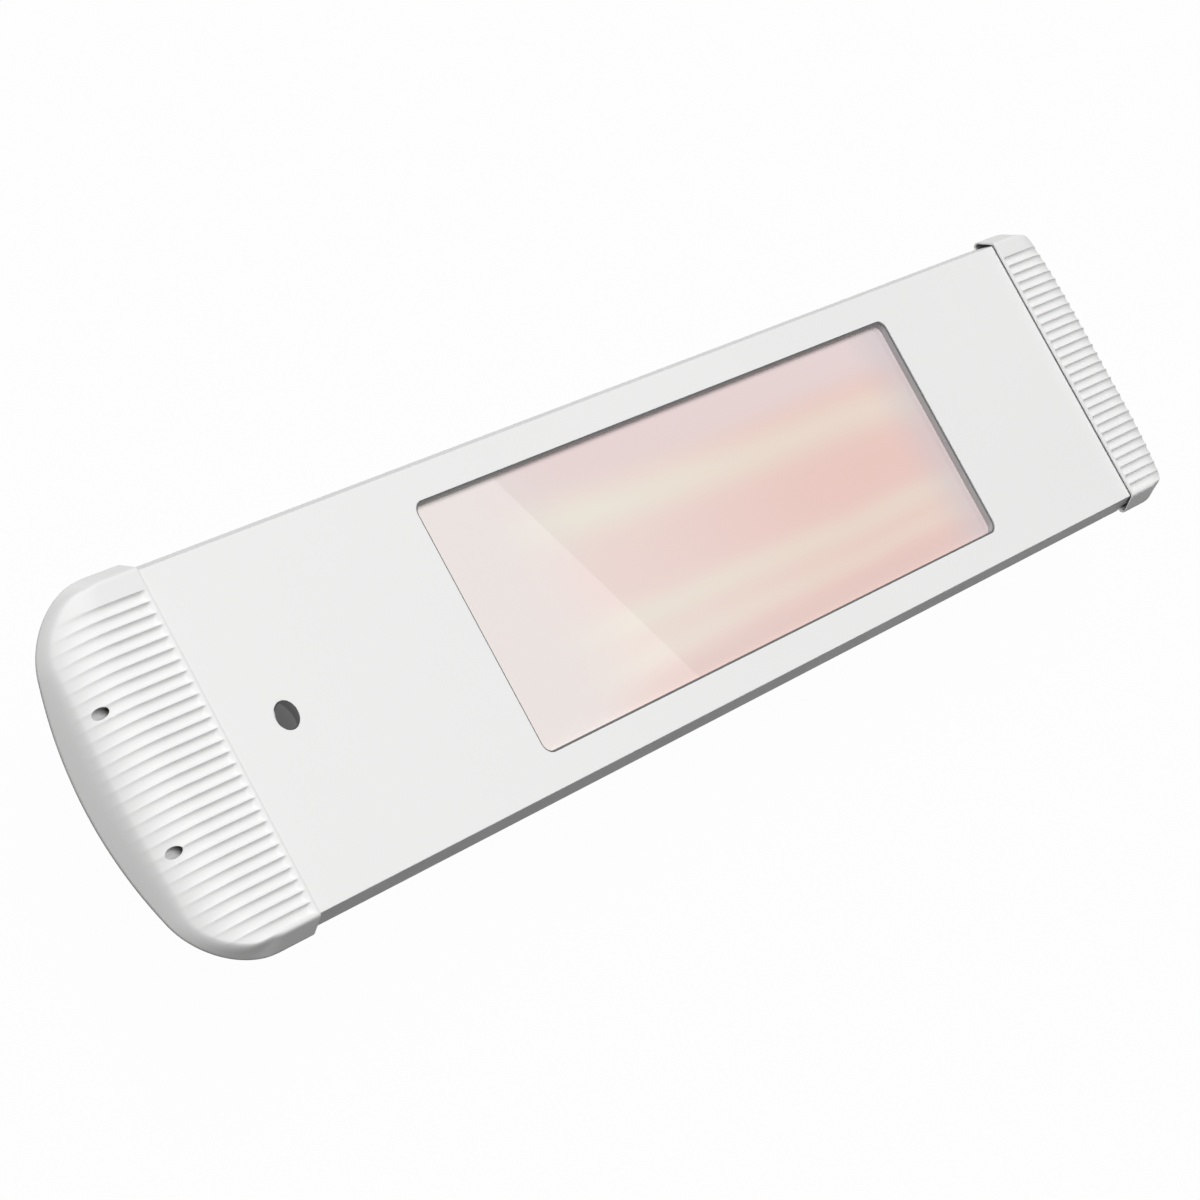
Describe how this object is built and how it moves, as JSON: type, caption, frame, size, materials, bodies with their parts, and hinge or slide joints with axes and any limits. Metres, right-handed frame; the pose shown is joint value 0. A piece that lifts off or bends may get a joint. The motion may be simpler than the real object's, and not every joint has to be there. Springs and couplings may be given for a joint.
{
  "type": "infrared heater",
  "caption": "Long white wall-hung infrared heater with a milky glass window, a round sensor lens, ribbed end caps and a tilting bracket.",
  "frame": {"origin": "middle of the wall bracket's back face", "axes": "+X along the heater, away from the sensor end; +Z out of the wall towards the radiating face"},
  "size_m": [0.7434, 0.163, 0.1063],
  "materials": {
    "white_aluminium": "white powder coat, satin",
    "white_plastic": "white moulded, satin",
    "white_steel": "white powder coat, satin",
    "bracket_steel": "white powder coat, satin",
    "zinc_steel": "zinc plated",
    "plain_steel": "rolled sheet",
    "milky_glass": "milky, smooth",
    "black_rubber": "matte",
    "polished_aluminium": "polished",
    "quartz": "clear, smooth",
    "white_ceramic": "fired, matte",
    "fibre_board": "pressed fibre",
    "dark_lens": "dark tinted, gloss",
    "black_plastic": "moulded, matte",
    "grey_plastic": "moulded, matte",
    "circuit_board": "solder mask",
    "board_post": "turned",
    "bare_aluminium": "mill finish",
    "hot_wire": "drawn wire, glowing"
  },
  "bodies": {
    "wall_mount": {"wall_bracket": "bracket_steel", "pivot_bolts": "zinc_steel", "pivot_washers": "zinc_steel", "pivot_nuts": "zinc_steel", "friction_washers": "black_plastic"},
    "heater_head": {"front_profile": "white_aluminium", "end_cap_left": "white_plastic", "end_cap_right": "white_plastic", "rear_tray": "white_steel", "reflector_box": "white_steel", "hanger_bracket": "bracket_steel", "end_cap_screws": "zinc_steel", "box_screws": "zinc_steel", "board_screws": "zinc_steel", "hanger_screws": "zinc_steel", "lock_bolts": "zinc_steel", "lock_washers": "zinc_steel", "lock_nuts": "zinc_steel", "end_plate_left": "plain_steel", "end_plate_right": "plain_steel", "lamp_covers": "plain_steel", "heat_shield": "plain_steel", "reflector_end_left": "plain_steel", "reflector_end_right": "plain_steel", "window_glass": "milky_glass", "window_gasket": "black_rubber", "rear_gasket": "black_rubber", "end_gasket_left": "black_rubber", "end_gasket_right": "black_rubber", "gland_seal": "black_rubber", "reflector": "polished_aluminium", "lamp_tube_lower": "quartz", "lamp_tube_upper": "quartz", "lamp_filament_lower": "hot_wire", "lamp_filament_upper": "hot_wire", "lamp_bases": "white_ceramic", "lamp_holder_left": "white_ceramic", "lamp_holder_right": "white_ceramic", "insulation_board": "fibre_board", "sensor_lens": "dark_lens", "sensor_holder": "black_plastic", "infrared_receiver": "black_plastic", "power_relay": "black_plastic", "gland_body": "grey_plastic", "gland_locknut": "grey_plastic", "gland_dome": "grey_plastic", "terminal_block": "grey_plastic", "control_board": "circuit_board", "board_standoffs": "board_post", "earth_stud": "board_post", "earth_nut": "board_post", "triac_heat_sink": "bare_aluminium", "supply_capacitor": "bare_aluminium"}
  },
  "joints": [
    {"name": "tilt", "type": "hinge", "parent": "wall_mount", "child": "heater_head", "pos_m": [0, 0, 0.034], "axis": [1, 0, 0], "range_deg": [-40, 40]}
  ]
}
